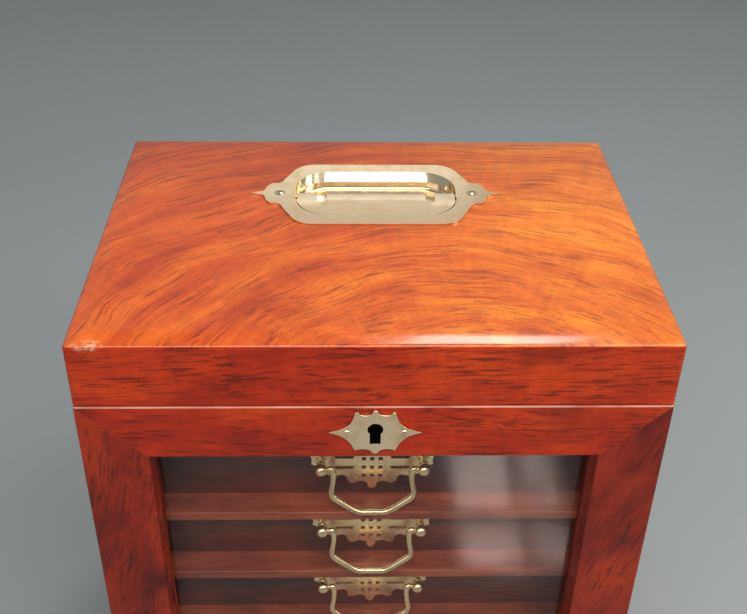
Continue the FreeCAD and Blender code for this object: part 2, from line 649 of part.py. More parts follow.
def bail(z):
    """A swan-neck bail that leans forward from its two ball-headed posts."""
    half = [(24.6, 0.0), (22.4, 0.0), (23.0, 15.4), (7.6, BAIL_DROP)]
    corners = half + [(-u, w) for u, w in reversed(half)]
    points = [Vector(u, BALL_Y - w * math.sin(BAIL_LEAN), z - w * math.cos(BAIL_LEAN)) for u, w in corners]
    path = bent_path(points, [2.0, 2.4, 3.2, 3.2, 2.4, 2.0])
    circle = Part.makeCircle(BAIL_WIRE, points[0], Vector(1, 0, 0))
    shape = path.makePipeShell([Part.Wire([circle])], True, True)
    for side in (-1, 1):
        shape = shape.fuse(rod(0.85, (side * 24.0, BALL_Y, z), (side, 0, 0), 3.8))
    return shape


def pull_plate(z):
    """A batwing plate behind the posts, pierced with a grid of squares and a slot in each wing."""
    outline = symmetric([
        (0.0, 12.8), (1.6, 10.6), ((5.4, 9.6), (9.0, 12.2)), ((12.6, 8.4), (18.6, 8.8)),
        ((24.6, 10.2), (29.2, 7.6)), ((31.6, 4.6), (35.0, 3.2)), ((33.9, -0.2), (34.4, -3.6)),
        ((30.6, -5.4), (27.6, -9.2)), ((22.6, -12.2), (17.4, -11.4)), ((15.0, -12.4), (14.0, -15.0)),
        ((12.6, -17.4), (9.4, -17.2)), ((5.6, -16.4), (2.6, -18.0)), ((2.1, -20.4), (0.0, -22.2)),
    ])
    outline = [shift(step, 0.0, z) for step in outline]
    face = DRAWER_FACE - PULL_PLATE
    back = DRAWER_FACE + 1
    plate = prism(outline, face, DRAWER_FACE, "XZ")
    for u in (-PIERCE_STEP, 0.0, PIERCE_STEP):
        for v in PIERCE_ROWS:
            plate = plate.cut(block(u - PIERCE, u + PIERCE, face - 1, back, z + v - PIERCE, z + v + PIERCE))
    slot = [(11.4, 1.1), (20.0, 1.1), ((21.1, 0.0), (20.0, -1.1)), (11.4, -1.1), ((10.3, 0.0), (11.4, 1.1))]
    for side in (-1, 1):
        plate = plate.cut(rod(1.7, (side * POST_HALF, face - 1, z), (0, 1, 0), 3))
        for v in SLOT_ROWS:
            steps = [shift(mirrored(step, side), 0.0, z + v) for step in slot]
            plate = plate.cut(prism(steps, face - 1, back, "XZ"))
    return plate


def posts(z):
    """Two turned posts with ball heads, and the nuts that hold them inside the drawer front."""
    made = []
    for side in (-1, 1):
        x = side * POST_HALF
        face = DRAWER_FACE - PULL_PLATE
        post = Part.makeSphere(BALL_R, Vector(x, BALL_Y, z))
        post = post.fuse(rod(1.9, (x, BALL_Y, z), (0, 1, 0), face - BALL_Y))
        post = post.fuse(rod(2.7, (x, BALL_Y + 3.6, z), (0, 1, 0), 0.9))
        post = post.fuse(rod(3.6, (x, face - 1.4, z), (0, 1, 0), 1.4))
        stem = DRAWER_FACE + DRAWER_FRONT_THICK - face + 0.4
        post = post.fuse(rod(STEM_R, (x, face - 1, z), (0, 1, 0), stem))
        post = post.cut(rod(0.95, (x - side * 4.2, BALL_Y, z), (side, 0, 0), 3.8))
        turns = [math.radians(60 * k) for k in range(6)]
        hexagon = [(x + NUT_ACROSS * math.cos(turn), z + NUT_ACROSS * math.sin(turn)) for turn in turns]
        y1 = DRAWER_FACE + DRAWER_FRONT_THICK - 0.3
        nut = prism(hexagon, y1 - NUT_THICK, y1, "XZ")
        made += [post, nut.cut(rod(STEM_R + 0.05, (x, y1 - 4, z), (0, 1, 0), 6))]
    return group(*made)


def drawers():
    """Four equal drawers, numbered from the top, each on its own shelf."""
    inside = DRAWER_FACE + DRAWER_FRONT_THICK
    for number in range(1, DRAWERS + 1):
        shelf = BOTTOM_SHELF_TOP + (DRAWERS - number) * SHELF_PITCH
        z = shelf + DRAWER_LIFT
        pull = shelf + POST_HEIGHT
        name = f"drawer_{number}_"
        front = block(-DRAWER_HALF, DRAWER_HALF, DRAWER_FACE, inside, z, z + DRAWER_HEIGHT)
        front = front.makeFillet(0.7, [e for e in front.Edges
                                       if all(abs(v.Y - DRAWER_FACE) < 1e-6 for v in e.Vertexes)])
        for side in (-1, 1):
            x = side * POST_HALF
            front = front.cut(rod(1.6, (x, DRAWER_FACE - 1, pull), (0, 1, 0), 12))
            front = front.cut(rod(3.9, (x, inside - 3.0, pull), (0, 1, 0), 4))
        nodes[name + "front"] = front

        inner = DRAWER_HALF - DRAWER_SIDE
        end = DRAWER_BACK - DRAWER_SIDE
        top = z + DRAWER_SIDE_HEIGHT
        floor = z + 1.0 + DRAWER_BOTTOM
        nodes[name + "box"] = group(
            block(-DRAWER_HALF, -inner, inside, DRAWER_BACK, z, top),
            block(inner, DRAWER_HALF, inside, DRAWER_BACK, z, top),
            block(-inner, inner, end, DRAWER_BACK, z, top),
            block(-inner, inner, inside, end, z + 1.0, floor),
        )
        pad = floor + 2.0
        rim = top - 3.0
        nodes[name + "lining"] = group(
            block(-inner, inner, inside, end, floor, pad),
            block(-inner, -inner + LINING, inside, end, pad, rim),
            block(inner - LINING, inner, inside, end, pad, rim),
            block(-inner + LINING, inner - LINING, inside, inside + LINING, pad, rim),
            block(-inner + LINING, inner - LINING, end - LINING, end, pad, rim),
        )
        nodes[name + "pull_plate"] = pull_plate(pull)
        nodes[name + "pull_posts"] = posts(pull)
        nodes[name + "bail"] = bail(pull)


def main():
    base()
    case()
    well()
    hinges()
    fall_front()
    lock()
    lid()
    handle()
    drawers()
    os.makedirs("parts", exist_ok=True)
    for name, shape in nodes.items():
        if not shape.isValid():
            print("not valid:", name)
        shape.exportStep(f"parts/{name}.step")
    print(len(nodes), "nodes")


main()
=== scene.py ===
"""Jewellery chest with drawers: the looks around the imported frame.

Metres, in the frame's axes: +X is right, +Y is back and +Z is up, so the chest faces -Y. The hard
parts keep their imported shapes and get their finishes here. Fabric, the bails, the mirror and the
small screws are made here.
"""

import math

import bmesh
import bpy
from mathutils import Matrix, Vector, noise


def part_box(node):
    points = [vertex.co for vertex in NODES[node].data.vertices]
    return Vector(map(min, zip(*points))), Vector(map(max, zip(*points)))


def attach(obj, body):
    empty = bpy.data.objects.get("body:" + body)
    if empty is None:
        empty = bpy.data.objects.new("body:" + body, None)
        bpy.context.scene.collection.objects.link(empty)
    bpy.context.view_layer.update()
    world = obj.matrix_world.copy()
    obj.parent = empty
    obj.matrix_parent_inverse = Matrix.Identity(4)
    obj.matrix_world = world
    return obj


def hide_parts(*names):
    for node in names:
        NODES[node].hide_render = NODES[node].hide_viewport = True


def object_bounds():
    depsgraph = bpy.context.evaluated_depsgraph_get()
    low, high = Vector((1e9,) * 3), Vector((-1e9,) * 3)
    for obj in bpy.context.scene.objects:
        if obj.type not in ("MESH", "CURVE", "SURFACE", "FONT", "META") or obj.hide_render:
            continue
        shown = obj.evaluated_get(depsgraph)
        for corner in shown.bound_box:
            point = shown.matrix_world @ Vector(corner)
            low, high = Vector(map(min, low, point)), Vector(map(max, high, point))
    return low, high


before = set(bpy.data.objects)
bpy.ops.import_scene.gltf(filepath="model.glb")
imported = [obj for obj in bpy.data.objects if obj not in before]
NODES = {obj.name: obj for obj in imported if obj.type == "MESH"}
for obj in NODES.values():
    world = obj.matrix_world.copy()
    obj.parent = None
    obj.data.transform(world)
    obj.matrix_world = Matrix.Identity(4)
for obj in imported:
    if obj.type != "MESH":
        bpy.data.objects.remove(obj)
CAD_LOW, CAD_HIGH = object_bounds()
MM = 0.001
DRAWERS = range(1, 5)
# noise_vector takes its offsets from the clock until a seed is set, and every run has to be the same
noise.seed_set(1)

# Camera, at the height and angle that the photograph was taken from
CAMERA_PLACE = (-0.0155, -0.5238, 0.6432)
CAMERA_LENS = 51.95
CAMERA_PITCH = math.radians(34.59)
CAMERA_YAW = math.radians(1.87)
CAMERA_ROLL = math.radians(1.04)


def srgb(red, green, blue):
    """A screen colour, 0 to 255 a channel, as linear RGBA."""
    def linear(value):
        value /= 255
        return value / 12.92 if value <= 0.04045 else ((value + 0.055) / 1.055) ** 2.4
    return (linear(red), linear(green), linear(blue), 1.0)


# ---------------------------------------------------------------- materials

class Paint:
    """A material, with short ways to write its nodes. Places are in metres on the object."""

    def __init__(self, name):
        self.material = bpy.data.materials.new(name)
        self.material.use_nodes = True
        self.tree = self.material.node_tree
        self.shader = self.tree.nodes["Principled BSDF"]
        self.place = self.node("TexCoord").outputs["Object"]

    def node(self, kind, inputs=None, **settings):
        """A new shader node, with its inputs fed and its settings made."""
        made = self.tree.nodes.new("ShaderNode" + kind)
        for key, value in settings.items():
            setattr(made, key, value)
        for key, value in (inputs or {}).items():
            self.feed(made.inputs[key], value)
        return made

    def feed(self, socket, value):
        """Links another node's output to a socket, or sets the socket to a plain value."""
        if isinstance(value, bpy.types.NodeSocket):
            self.tree.links.new(value, socket)
        else:
            socket.default_value = value

    def maths(self, operation, a, b=0.0):
        return self.node("Math", {0: a, 1: b}, operation=operation).outputs[0]

    def vector(self, operation, a, b=(0, 0, 0)):
        return self.node("VectorMath", {0: a, 1: b}, operation=operation).outputs[0]

    def measure(self, operation, a, b=(0, 0, 0)):
        """A length, a distance or a dot product."""
        return self.node("VectorMath", {0: a, 1: b}, operation=operation).outputs["Value"]

    def parts(self, where):
        """A place's x, y and z."""
        return self.node("SeparateXYZ", {0: where}).outputs

    def turned(self, where, angles):
        return self.node("Mapping", {"Vector": where, "Rotation": angles}).outputs[0]

    def spread(self, where, size):
        """Places counted in steps of a size of their own on each axis."""
        return self.node("Mapping", {"Vector": where, "Scale": [1 / s for s in size]}).outputs[0]

    def noise(self, where, size, detail=2.0, roughness=0.5, distortion=0.0):
        """Noise whose features are about size across, on each of three axes."""
        return self.node("TexNoise", {"Vector": self.spread(where, size), "Scale": 1.0, "Detail": detail,
                                      "Roughness": roughness, "Distortion": distortion}).outputs["Fac"]

    def between(self, value, low, high, start=0.0, end=1.0):
        """start below low, end above high and smooth in between."""
        return self.node("MapRange", {"Value": value, "From Min": low, "From Max": high,
                                      "To Min": start, "To Max": end},
                         interpolation_type="SMOOTHSTEP").outputs[0]

    def mix(self, factor, a, b, blend="MIX"):
        return self.node("Mix", {0: factor, 6: a, 7: b}, data_type="RGBA", blend_type=blend).outputs[2]

    def ramp(self, value, *stops):
        """A run of colours, each stop a position and its colour."""
        made = self.node("ValToRGB", {"Fac": value})
        marks = made.color_ramp.elements
        marks[0].position, marks[0].color = stops[0]
        marks[1].position, marks[1].color = stops[-1]
        for position, colour in stops[1:-1]:
            marks.new(position).color = colour
        return made.outputs["Color"]

    def bump(self, height, distance, strength, normal=None):
        inputs = {"Height": height, "Distance": distance, "Strength": strength}
        if normal is not None:
            inputs["Normal"] = normal
        return self.node("Bump", inputs).outputs["Normal"]

    def warped(self, where, size, reach):
        """The place, pushed about by a soft noise."""
        push = self.node("TexNoise", {"Vector": self.spread(where, size), "Scale": 1.0,
                                      "Detail": 1.0}).outputs["Color"]
        push = self.vector("SUBTRACT", push, (0.5, 0.5, 0.5))
        return self.vector("ADD", where, self.vector("MULTIPLY", push, reach))

    def edges(self, radius):
        """1 along sharp edges and 0 on flat parts, from how far a rounded edge would turn the normal."""
        rounded = self.node("Bevel", {"Radius": radius}, samples=4).outputs[0]
        flat = self.node("NewGeometry").outputs["Normal"]
        return self.between(self.measure("DOT_PRODUCT", rounded, flat), 0.97, 0.8)

    def set(self, **sockets):
        """Feeds the shader's own sockets and gives the finished material."""
        for key, value in sockets.items():
            self.feed(self.shader.inputs[key.replace("_", " ")], value)
        return self.material


def arched(paint, centre):
    """Places counted along and across wavy arcs around a centre, for crown-figured veneer."""
    wavy = paint.warped(paint.place, (0.07, 0.07, 0.07), (0.03, 0.03, 0.0))
    parts = paint.parts(paint.vector("SUBTRACT", wavy, centre))
    flat = paint.node("CombineXYZ", {0: parts[0], 1: parts[1]}).outputs[0]
    radius = paint.measure("LENGTH", flat)
    along = paint.maths("MULTIPLY", paint.maths("ARCTAN2", parts[0], parts[1]), 0.2)
    return paint.node("CombineXYZ", {0: along, 1: radius, 2: parts[2]}).outputs[0]


GRAIN_TURN = {"X": (0, 0, 0), "Y": (0, 0, -math.pi / 2), "Z": (0, math.pi / 2, 0)}


def laid(paint, along, tilt, shift):
    """Places along and across a straight, slightly wavy grain."""
    where = paint.turned(paint.place, GRAIN_TURN[along])
    if tilt:
        where = paint.turned(where, (0, tilt, 0))
    where = paint.warped(where, (0.09, 0.03, 0.03), (0.0, 0.009, 0.009))
    return paint.vector("ADD", where, shift)


def figured(paint, where, tones, streaks, patches):
    """The colour of figured rosewood, and its pores."""
    light, middle, dark, streak = (srgb(*tone) for tone in tones)
    figure = paint.noise(where, (0.085, 0.015, 0.03), 4.0, 0.6, 0.4)
    colour = paint.ramp(figure, (0.3, dark), (0.47, middle), (0.66, light))
    cloud = paint.noise(where, (0.05, 0.035, 0.035), 2.0)
    deep = paint.mix(1.0, colour, dark, "MULTIPLY")
    colour = paint.mix(paint.between(cloud, 0.52, 0.75, 0.0, patches), colour, deep)

    lines = paint.noise(where, (0.022, 0.0012, 0.0016), 4.0, 0.65)
    crowd = paint.noise(where, (0.04, 0.012, 0.02), 2.0)
    marks = paint.maths("MULTIPLY", paint.between(lines, 0.49, 0.62), paint.between(crowd, 0.3, 0.58))
    colour = paint.mix(paint.maths("MULTIPLY", marks, streaks), colour, streak)
    fine = paint.noise(where, (0.01, 0.0006, 0.0007), 3.0, 0.65)
    pores = paint.between(fine, 0.52, 0.7)
    colour = paint.mix(paint.maths("MULTIPLY", pores, 0.6 * streaks), colour, streak)
    ripple = paint.noise(where, (0.0045, 0.03, 0.02), 2.0)
    shine = paint.between(ripple, 0.3, 0.7, 0.94, 1.06)
    shade = paint.node("CombineXYZ", {0: shine, 1: shine, 2: shine}).outputs[0]
    return paint.mix(1.0, colour, shade, "MULTIPLY"), pores


def veneer(paint):
    """The lid's crown-figured veneer, golden in front and on the right and redder to the back and left:
    painted light from the right and painted shade towards the back.
    """
    colour, pores = figured(paint, arched(paint, CROWN_CENTRE), FIGURED, 0.64, 0.3)
    across, back, _ = paint.parts(paint.place)
    # Painted light: the veneer lighter and more golden towards the right, as if lit from that side
    lit_right = paint.between(across, -0.1, 0.16, 0.0, 0.9)
    colour = paint.mix(lit_right, colour, paint.mix(1.0, colour, (1.25, 2.1, 1.8, 1), "MULTIPLY"))
    # Painted shade: the veneer darker and redder towards the back
    shaded_back = paint.between(back, 0.0, 0.11, 0.0, 0.9)
    return paint.mix(shaded_back, colour, paint.mix(1.0, colour, (0.72, 0.6, 0.5, 1), "MULTIPLY")), pores


def scuffed(paint, colour):
    """The lid's front left arris, rubbed through the lacquer."""
    away = paint.vector("MULTIPLY", paint.vector("SUBTRACT", paint.place, SCUFF_CENTRE), SCUFF_SHAPE)
    patch = paint.between(paint.measure("LENGTH", away), SCUFF_REACH, 0.2 * SCUFF_REACH)
    wear_and_glint = paint.noise(paint.place, (0.004, 0.0012, 0.0012), 3.0, 0.7)
    patch = paint.maths("MULTIPLY", patch, paint.between(wear_and_glint, 0.45, 0.6, 0.0, 0.85))
    return paint.mix(patch, colour, srgb(*BARE_WOOD))


def lacquered(paint, colour, pores, coat, gloss):
    """The finish over the wood: faintly wavy lacquer, with the pores just felt through it."""
    rough = paint.between(paint.noise(paint.place, (0.02, 0.008, 0.008), 2.0), 0.3, 0.7, 0.32, 0.46)
    grain = paint.bump(pores, 0.00006, 0.35)
    waves = paint.noise(paint.place, (0.03, 0.03, 0.03), 1.0)
    lacquer = paint.bump(waves, 0.0006, 0.35)
    return paint.set(Base_Color=colour, Roughness=rough, Normal=grain, Coat_Weight=coat,
                     Coat_Roughness=gloss, Coat_IOR=1.45, Coat_Normal=lacquer, Specular_IOR_Level=0.15)


def glinting_edge(paint, colour, front, top):
    """A painted highlight: wood painted pale along the upper front edge of a rail, where the edge catches
    the light.
    """
    _, back, height = paint.parts(paint.place)
    pale = paint.between(paint.noise(paint.place, (0.03, 0.03, 0.03), 2.0), 0.3, 0.6, 0.15, 0.48)
    high = paint.between(height, top - GLINT_HIGH, top - GLINT_HIGH + GLINT_SOFT)
    near = paint.between(back, front + GLINT_DEEP + GLINT_SOFT, front + GLINT_DEEP)
    pale = paint.maths("MULTIPLY", paint.maths("MULTIPLY", pale, high), near)
    return paint.mix(pale, colour, srgb(*EDGE_GLINT))


def wood(name, tones, along="X", tilt=0.0, streaks=0.65, patches=0.5, coat=0.45, gloss=0.1,
         shift=(0, 0, 0), shaded_round=None, wear_and_glint=None):
    """Rosewood under lacquer, its edges lightened a little, partly wear and partly painted highlight. It may
    have painted shade round a place and a painted highlight along its upper front edge.
    """
    paint = Paint(name)
    colour, pores = figured(paint, laid(paint, along, tilt, shift), tones, streaks, patches)
    # Edges lightened towards the light tone: partly wear, partly painted highlight
    colour = paint.mix(paint.maths("MULTIPLY", paint.edges(0.0009), 0.2), colour, srgb(*tones[0]))
    if wear_and_glint:
        colour = glinting_edge(paint, colour, *wear_and_glint)
    # Painted shade: near black round a place, standing for the shade inside the keyhole
    if shaded_round:
        away = paint.measure("DISTANCE", paint.place, shaded_round)
        colour = paint.mix(paint.between(away, SHADE_REACH, SHADE_REACH - MM), colour, srgb(*KEYHOLE_SHADE))
    return lacquered(paint, colour, pores, coat, gloss)


def lid_wood(name, along=None, tilt=0.0, shift=(0, 0, 0)):
    """The lid: veneer on top, and on its rails veneer over the rolled edge and plain figure below it."""
    paint = Paint(name)
    colour, pores = veneer(paint)
    coat = 0.9
    if along:
        side, _ = figured(paint, laid(paint, along, tilt, shift), RAILS, 0.7, 0.5)
        height = paint.parts(paint.place)[2]
        wavy = paint.maths("ADD", height, paint.maths("MULTIPLY", pores, 0.0002))
        over = paint.between(wavy, VENEER_EDGE, VENEER_EDGE + MM)
        colour = paint.mix(over, side, colour)
        coat = paint.between(over, 0.0, 1.0, 0.45, 1.0)
    colour = scuffed(paint, colour)
    return lacquered(paint, colour, pores, coat, 0.14)


def brass(name, wear=0.5, grime_and_shade=0.5, gloss=0.1, bright=(243, 222, 188)):
    """Pale polished brass under old lacquer: fine lines, clouds of tarnish, and corners darkened partly by
    grime and partly as painted shade.
    """
    paint = Paint(name)
    bright, warm = srgb(*bright), srgb(224, 184, 122)
    clouds = paint.noise(paint.place, (0.012, 0.012, 0.012), 3.0, 0.6)
    colour = paint.mix(paint.between(clouds, 0.42, 0.72, 0.0, wear), bright, warm)
    spots = paint.noise(paint.place, (0.0016, 0.0016, 0.0016), 2.0)
    colour = paint.mix(paint.between(spots, 0.68, 0.8, 0.0, 0.15 * wear), colour, srgb(150, 116, 72))
    # Grime and painted shade: darker brown where the occlusion mask finds corners and recesses
    corner = paint.node("AmbientOcclusion", {"Distance": 0.003}, samples=6).outputs["AO"]
    colour = paint.mix(paint.between(corner, 0.25, 0.75, grime_and_shade, 0.0), colour, srgb(96, 66, 36))
    lines = paint.noise(paint.place, (0.012, 0.0003, 0.0003), 2.0, 0.6)
    rough = paint.between(clouds, 0.3, 0.7, gloss, gloss + 0.08)
    rough = paint.maths("ADD", rough, paint.maths("MULTIPLY", lines, 0.05))
    dents = paint.bump(paint.noise(paint.place, (0.014, 0.014, 0.014), 1.0), 0.0003, 0.15)
    return paint.set(Base_Color=colour, Metallic=1.0, Roughness=rough,
                     Normal=paint.bump(lines, 0.00002, 0.4, dents))


def glass():
    """Clear float glass, thin enough to show what is behind it unbent, with faint smears."""
    paint = Paint("float_glass")
    smears = paint.noise(paint.place, (0.05, 0.02, 0.05), 3.0, 0.6, 0.6)
    rough = paint.between(smears, 0.35, 0.7, 0.1, 0.17)
    clear = paint.node("BsdfTransparent", {"Color": (0.96, 0.94, 0.91, 1)}).outputs[0]
    mirror = paint.node("BsdfGlossy", {"Color": (1, 1, 1, 1), "Roughness": rough}).outputs[0]
    share = paint.node("Fresnel", {"IOR": 1.43}).outputs[0]
    inside = paint.node("NewGeometry").outputs["Backfacing"]
    share = paint.maths("MULTIPLY", share, paint.maths("SUBTRACT", 1.0, inside))
    both = paint.node("MixShader", {0: share, 1: clear, 2: mirror}).outputs[0]
    output = paint.tree.nodes["Material Output"]
    paint.tree.nodes.remove(paint.shader)
    paint.feed(output.inputs["Surface"], both)
    return paint.material


def mirror_silver():
    """Silvered glass with faint foxing towards its edges."""
    paint = Paint("mirror_silver")
    spots = paint.noise(paint.place, (0.004, 0.004, 0.004), 3.0, 0.7)
    haze = paint.noise(paint.place, (0.05, 0.05, 0.05), 2.0)
    foxing = paint.maths("MULTIPLY", paint.between(spots, 0.6, 0.72), paint.between(haze, 0.5, 0.7))
    colour = paint.mix(foxing, srgb(236, 239, 238), srgb(150, 142, 128))
    return paint.set(Base_Color=colour, Metallic=1.0, Roughness=paint.between(foxing, 0.0, 1.0, 0.015, 0.3))


def velvet(name, dark, light):
    """Short-pile velvet: brushed light and dark areas, a bright sheen and a fine pile."""
    paint = Paint(name)
    brushed = paint.noise(paint.warped(paint.place, (0.03, 0.03, 0.03), (0.02, 0.02, 0.02)),
                          (0.035, 0.02, 0.03), 3.0, 0.6)
    pile = paint.noise(paint.place, (0.0005, 0.0005, 0.0005), 2.0)
    tone = paint.maths("ADD", paint.maths("MULTIPLY", brushed, 0.75), paint.maths("MULTIPLY", pile, 0.25))
    colour = paint.ramp(tone, (0.3, srgb(*dark)), (0.68, srgb(*light)))
    tufts = paint.bump(pile, 0.0003, 0.5, paint.bump(brushed, 0.0008, 0.3))
    return paint.set(Base_Color=colour, Roughness=0.95, Normal=tufts, Sheen_Weight=0.7,
                     Sheen_Roughness=0.35, Sheen_Tint=srgb(225, 150, 150), Specular_IOR_Level=0.1)


def baize():
    """Green woollen baize, matted, with stray fibres."""
    paint = Paint("woollen_baize")
    matted = paint.noise(paint.place, (0.004, 0.004, 0.004), 3.0, 0.7)
    fibres = paint.noise(paint.turned(paint.place, (0, 0, 0.6)), (0.003, 0.0003, 0.0003), 2.0, 0.6, 1.5)
    colour = paint.ramp(matted, (0.3, srgb(28, 62, 42)), (0.7, srgb(58, 104, 72)))
    colour = paint.mix(paint.between(fibres, 0.55, 0.75, 0.0, 0.5), colour, srgb(96, 140, 104))
    return paint.set(Base_Color=colour, Roughness=0.95, Normal=paint.bump(fibres, 0.0003, 0.6),
                     Sheen_Weight=0.3, Sheen_Roughness=0.5)


def floor_paint():
    """A plain pale studio floor."""
    paint = Paint("studio_floor")
    soft = paint.noise(paint.place, (0.4, 0.4, 0.4), 2.0)
    grit = paint.noise(paint.place, (0.002, 0.002, 0.002), 2.0)
    colour = paint.mix(soft, srgb(141, 150, 153), srgb(149, 155, 156))
    colour = paint.mix(paint.between(grit, 0.4, 0.8, 0.0, 0.12), colour, srgb(132, 139, 142))
    return paint.set(Base_Color=colour, Roughness=0.6, Normal=paint.bump(grit, 0.0001, 0.2))


# ---------------------------------------------------------------- mesh helpers

def piece(name, bm, body, finish, replaces=(), smooth=True):
    """A new piece from a bmesh, riding on a body."""
    bmesh.ops.recalc_face_normals(bm, faces=bm.faces)
    mesh = bpy.data.meshes.new(name)
    bm.to_mesh(mesh)
    bm.free()
    for polygon in mesh.polygons:
        polygon.use_smooth = smooth
    made = bpy.data.objects.new(name, mesh)
    bpy.context.scene.collection.objects.link(made)
    made.data.materials.append(finish)
    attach(made, body)
    if replaces:
        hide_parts(*replaces)
    return made


def ticks(low, high, radius, step):
    """Places for grid lines from low to high: close together where the edge is rounded."""
    inside = high - low - 2 * radius
    count = max(1, round(inside / step))
    middle = [low + radius + inside * k / count for k in range(count + 1)]
    return [low, low + 0.35 * radius, *middle, high - 0.35 * radius, high]


def soft_block(bm, low, high, radius, step):
    """A closed block with rounded edges and an even grid of quads. Returns its vertices."""
    low, high = Vector(low), Vector(high)
    lines = [ticks(low[a], high[a], radius, step) for a in range(3)]
    last = [len(line) - 1 for line in lines]
    inner_low = low + Vector((radius,) * 3)
    inner_high = high - Vector((radius,) * 3)
    made = {}

    def corner(index):
        if index not in made:
            point = Vector([lines[a][index[a]] for a in range(3)])
            core = Vector([min(max(point[a], inner_low[a]), inner_high[a]) for a in range(3)])
            out = point - core
            made[index] = bm.verts.new(core + out.normalized() * radius)
        return made[index]

    for axis in range(3):
        u, v = [a for a in range(3) if a != axis]
        for side in (0, last[axis]):
            for i in range(last[u]):
                for j in range(last[v]):
                    loop = []
                    for di, dj in ((0, 0), (1, 0), (1, 1), (0, 1)):
                        index = [0, 0, 0]
                        index[axis], index[u], index[v] = side, i + di, j + dj
                        loop.append(corner(tuple(index)))
                    bm.faces.new(loop)
    return list(made.values())


def lathe(bm, profile, centre, axis, sides):
    """A turned solid. The profile's steps are (radius, height along the axis) and end at radius 0."""
    turn = Vector((0, 0, 1)).rotation_difference(Vector(axis)).to_matrix()
    rings = []
    for radius, height in profile:
        if radius == 0:
            rings.append([bm.verts.new(Vector(centre) + turn @ Vector((0, 0, height)))])
            continue
        around = [2 * math.pi * k / sides for k in range(sides)]
        steps = [Vector((radius * math.cos(a), radius * math.sin(a), height)) for a in around]
        rings.append([bm.verts.new(Vector(centre) + turn @ step) for step in steps])
    for one, two in zip(rings, rings[1:]):
        for k in range(sides):
            loop = [one[k % len(one)], one[(k + 1) % len(one)], two[(k + 1) % len(two)], two[k % len(two)]]
            bm.faces.new(list(dict.fromkeys(loop)))


def eased(name, width, segments=2):
    """Rounds a CAD node's sharp edges a little with modifiers, so that they catch the light."""
    node = NODES[name]
    weld = node.modifiers.new("weld", "WELD")
    weld.merge_threshold = 1e-6
    bevel = node.modifiers.new("eased_edges", "BEVEL")
    bevel.width = width
    bevel.segments = segments
    bevel.limit_method = "ANGLE"
    bevel.angle_limit = math.radians(38)
    even = node.modifiers.new("even_shading", "WEIGHTED_NORMAL")
    even.keep_sharp = False


def painted(finish, *names):
    """Gives CAD nodes their finish."""
    for name in names:
        for slot in NODES[name].material_slots:
            slot.link = "OBJECT"
            slot.material = finish


def stuffed(made, pressure, cap):
    """Swells a closed form as a stuffed cover by cloth simulation. No point moves further than the cap."""
    rest = [v.co.copy() for v in made.data.vertices]
    frames = 14
    scene = bpy.context.scene
    cloth = made.modifiers.new("stuffing", "CLOTH")
    cloth.settings.quality = 5
    cloth.settings.mass = 0.2
    cloth.settings.tension_stiffness = 12
    cloth.settings.compression_stiffness = 12
    cloth.settings.bending_stiffness = 0.3
    cloth.settings.shrink_min = -0.03
    cloth.settings.use_pressure = True
    cloth.settings.uniform_pressure_force = pressure
    cloth.settings.effector_weights.gravity = 0
    cloth.point_cache.frame_start = 1
    cloth.point_cache.frame_end = frames
    for number in range(1, frames + 1):
        scene.frame_set(number)
    drawn = made.evaluated_get(bpy.context.evaluated_depsgraph_get())
    swollen = [v.co.copy() for v in drawn.data.vertices]
    made.modifiers.remove(cloth)
    scene.frame_set(1)
    for vertex, old, new in zip(made.data.vertices, rest, swollen):
        move = new - old
        if move.length > cap:
            move = move.normalized() * cap
        vertex.co = old + move


def kept_inside(made, low, high):
    """Presses a soft piece flat against what it lies on and stands beside."""
    for vertex in made.data.vertices:
        vertex.co = Vector([min(max(vertex.co[a], low[a]), high[a]) for a in range(3)])


def smoothed(made):
    """Rounds a soft piece by one level of subdivision."""
    smooth = made.modifiers.new("smooth", "SUBSURF")
    smooth.levels = 1
    smooth.render_levels = 1
    return made


# ---------------------------------------------------------------- finishes

# The light, middle, dark and streak tones of each wood
FIGURED = [(213, 98, 18), (198, 78, 12), (170, 54, 8), (104, 24, 5)]
RAILS = [(200, 62, 8), (176, 42, 5), (130, 24, 5), (62, 12, 5)]
STILES = [(164, 46, 8), (140, 33, 8), (100, 20, 8), (54, 11, 6)]
CASE = [(180, 58, 14), (150, 42, 10), (104, 24, 8), (52, 12, 6)]
SHELF = [(168, 84, 56), (138, 62, 42), (100, 40, 28), (58, 22, 15)]
DRAWER = [(112, 44, 28), (86, 31, 20), (55, 20, 12), (29, 10, 7)]
LININGS = [(176, 124, 84), (156, 104, 68), (128, 82, 52), (92, 56, 36)]
# The bare wood of a scuff, the pale colour of a painted highlight along an edge, and the near black of the
# painted shade round the keyhole
BARE_WOOD, EDGE_GLINT, KEYHOLE_SHADE = (225, 182, 162), (255, 196, 170), (20, 12, 8)

# The lid: the middle of the veneer's arcs, how low over the rolled edge the veneer comes, and the
# scuff on its front left corner, which is longer across than it is high or deep
CROWN_CENTRE = (0.04, -0.19, 0.0)
VENEER_EDGE = CAD_HIGH.z - 4.6 * MM
SCUFF_CENTRE = (CAD_LOW.x + 0.012, -0.1095, 0.3350)
SCUFF_REACH = 4.2 * MM
SCUFF_SHAPE = (0.42, 1.0, 1.0)
# The front's top rail: its keyhole with painted shade round it, and the painted highlight along its upper
# edge, as how far down and back the highlight goes and how soft its border is
KEYHOLE = (0.0, CAD_LOW.y + 0.006, 0.2795)
SHADE_REACH = 10.5 * MM
GLINT_HIGH, GLINT_DEEP, GLINT_SOFT = 0.9 * MM, 0.7 * MM, 0.4 * MM

CASE_BOARDS = ["plinth_rail", "well_front", "bottom_shelf", "drawer_shelves", "well_floor"]
FRONT_FRAME = ["front_top_rail", "front_bottom_rail", "front_left_stile", "front_right_stile"]
HINGE_LEAVES = ["lid_hinge_case_leaves", "lid_hinge_lid_leaves", "front_hinge_case_leaves",
                "front_hinge_front_leaves"]


